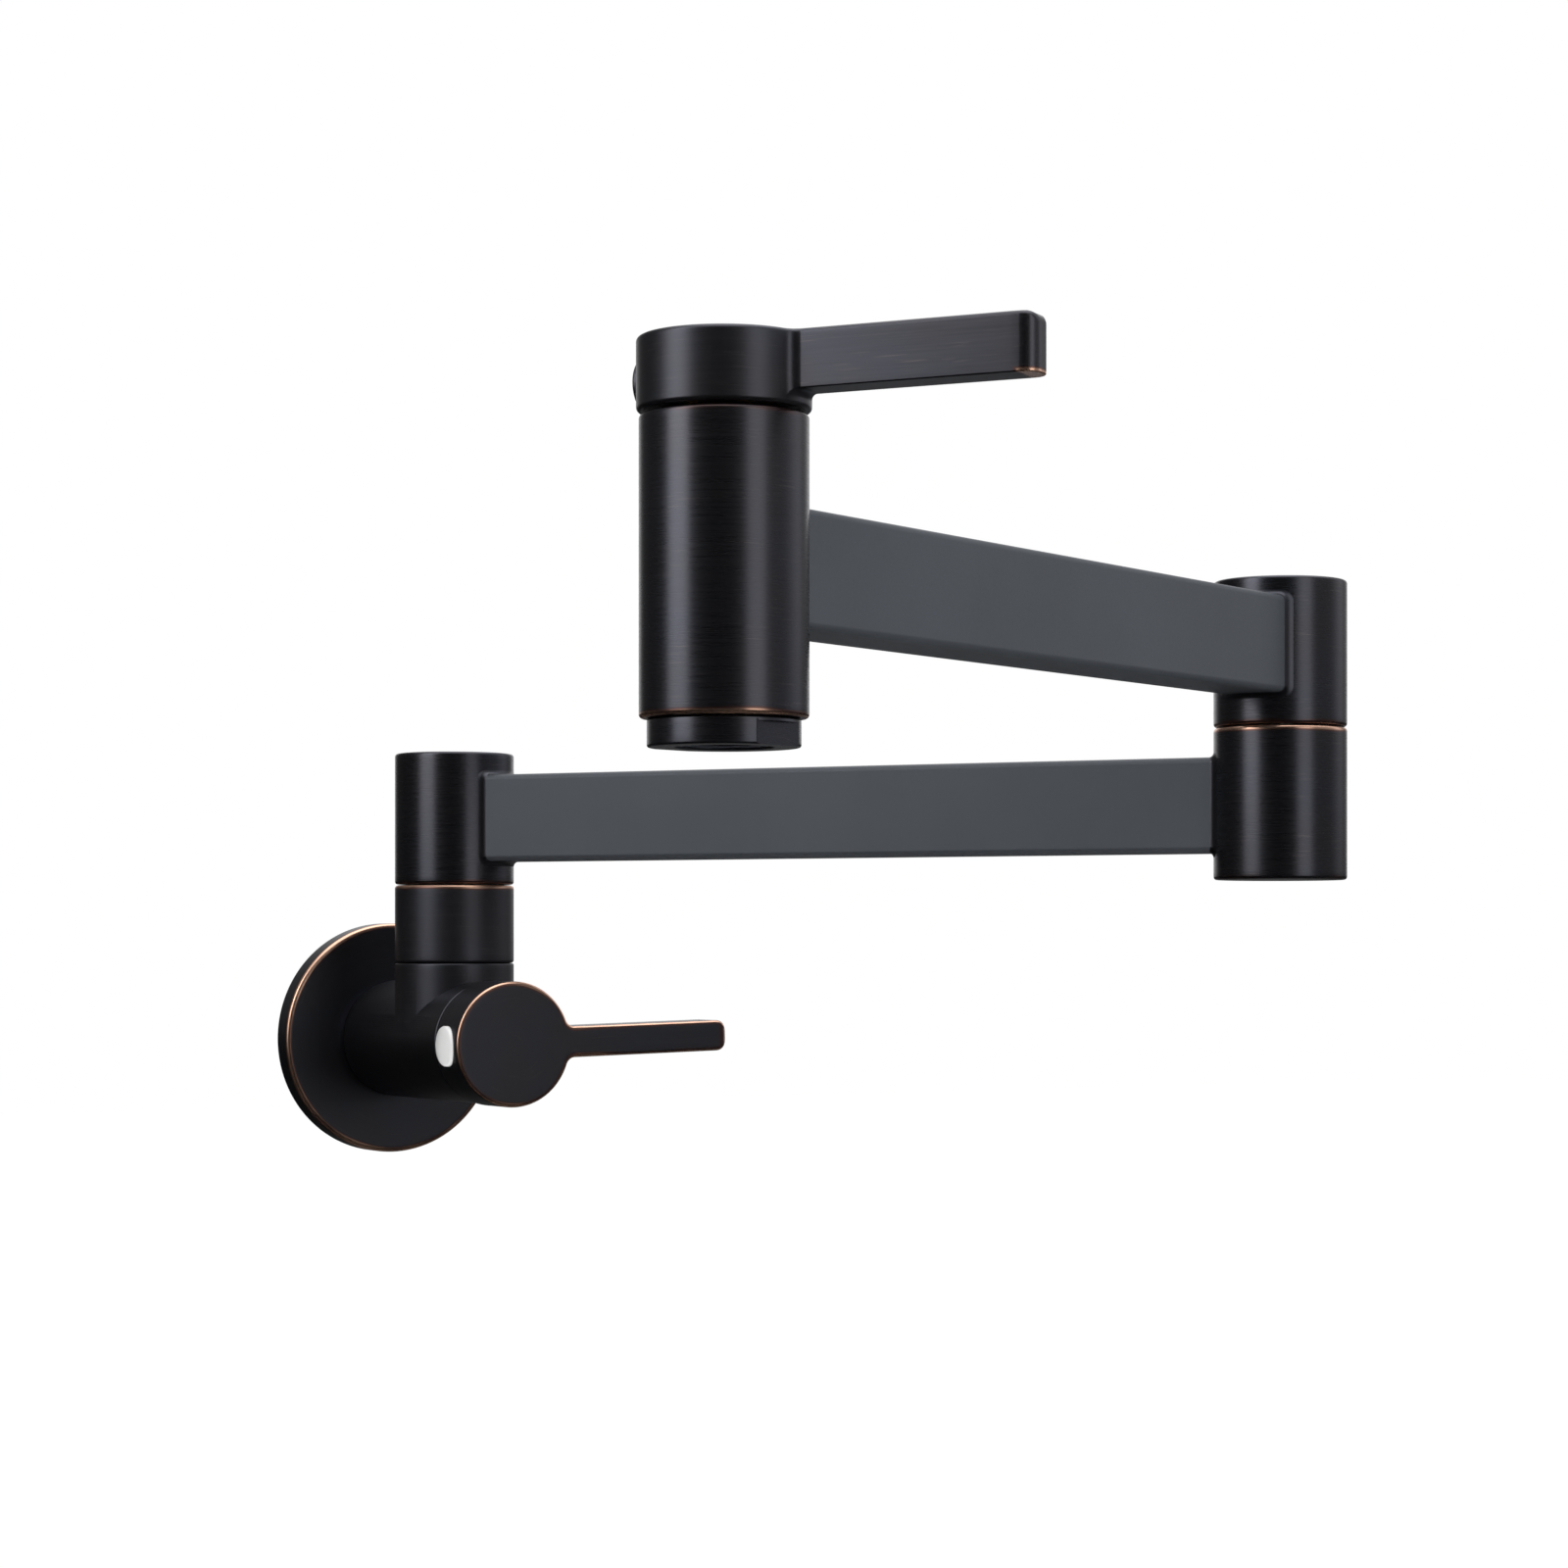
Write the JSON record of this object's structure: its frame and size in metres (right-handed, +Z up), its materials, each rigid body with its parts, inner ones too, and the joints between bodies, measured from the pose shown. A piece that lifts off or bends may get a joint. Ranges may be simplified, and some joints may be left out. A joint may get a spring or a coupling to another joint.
{
  "type": "wall mounted pot filler",
  "caption": "Wall mounted pot filler: round flange, valve with lever, two folding arms on vertical swivels, and a spout with a second lever.",
  "frame": {"origin": "centre of the back of the wall flange, on the axis of the valve body and in the plane of the wall", "axes": "+Z up, +Y into the wall, +X to the right of someone who faces the wall"},
  "size_m": [0.2424, 0.3929, 0.1718],
  "materials": {
    "oil_rubbed_bronze": "brushed, chemically darkened, edges rubbed back to copper",
    "slate_bronze": "the same dark finish on the flat tubes, fine satin",
    "raw_brass": "machined",
    "steel": "bright zinc plated",
    "rubber": "moulded nitrile",
    "foam_rubber": "closed cell foam",
    "fibre": "pressed fibre",
    "ceramic_disc": "lapped",
    "slip_plastic": "turned PTFE",
    "white_plastic": "moulded, domed",
    "grey_plastic": "moulded"
  },
  "bodies": {
    "wall_body": {"wall_flange": "oil_rubbed_bronze", "flange_gasket": "foam_rubber", "flange_o_ring": "rubber", "valve_body": "oil_rubbed_bronze", "inlet_adapter": "raw_brass", "inlet_washer": "fibre", "wall_cartridge_seal": "rubber", "wall_cartridge_housing": "raw_brass", "wall_cartridge_fixed_disc": "ceramic_disc", "column_sleeve": "oil_rubbed_bronze", "column_spigot": "raw_brass", "column_o_ring_lower": "rubber", "column_o_ring_upper": "rubber", "column_slip_washer": "slip_plastic", "column_thrust_washer": "slip_plastic", "column_retaining_screw": "steel"},
    "wall_handle_set": {"wall_cartridge_turning_disc": "ceramic_disc", "wall_cartridge_stem": "raw_brass", "wall_cartridge_o_ring": "rubber", "wall_stem_clip": "steel", "wall_handle": "oil_rubbed_bronze", "wall_handle_screw": "steel", "wall_index_button": "white_plastic"},
    "arm_1": {"arm_1_hub": "oil_rubbed_bronze", "arm_1_hub_cap": "oil_rubbed_bronze", "arm_1_tube": "slate_bronze", "elbow_lower_hub": "oil_rubbed_bronze", "elbow_bottom_plug": "oil_rubbed_bronze", "elbow_spigot": "raw_brass", "elbow_o_ring_lower": "rubber", "elbow_o_ring_upper": "rubber", "elbow_slip_washer": "slip_plastic", "elbow_thrust_washer": "slip_plastic", "elbow_retaining_screw": "steel"},
    "arm_2": {"elbow_upper_hub": "oil_rubbed_bronze", "elbow_hub_cap": "oil_rubbed_bronze", "arm_2_tube": "slate_bronze", "spout_body": "oil_rubbed_bronze", "spout_cartridge_seal": "rubber", "spout_cartridge_housing": "raw_brass", "spout_cartridge_fixed_disc": "ceramic_disc", "aerator_housing": "oil_rubbed_bronze", "aerator_insert": "grey_plastic", "aerator_washer": "rubber"},
    "spout_handle_set": {"spout_cartridge_turning_disc": "ceramic_disc", "spout_cartridge_stem": "raw_brass", "spout_cartridge_o_ring": "rubber", "spout_stem_clip": "steel", "spout_handle": "oil_rubbed_bronze", "spout_handle_screw": "steel", "spout_index_button": "oil_rubbed_bronze"}
  },
  "joints": [
    {"name": "wall_handle_turn", "type": "hinge", "parent": "wall_body", "child": "wall_handle_set", "pos_m": [0, -0.077, 0], "axis": [0, 1, 0], "range_deg": [0, 90]},
    {"name": "arm_1_swing", "type": "hinge", "parent": "wall_body", "child": "arm_1", "pos_m": [0, -0.047, 0.0423], "axis": [0, 0, 1], "range_deg": [-126, 58]},
    {"name": "arm_2_swing", "type": "hinge", "parent": "arm_1", "child": "arm_2", "pos_m": [0.1294, -0.23956, 0.07865], "axis": [0, 0, 1], "range_deg": [-71, 268]},
    {"name": "spout_handle_turn", "type": "hinge", "parent": "arm_2", "child": "spout_handle_set", "pos_m": [-0.08052, -0.33834, 0.12575], "axis": [0, 0, 1], "range_deg": [-90, 0]}
  ]
}
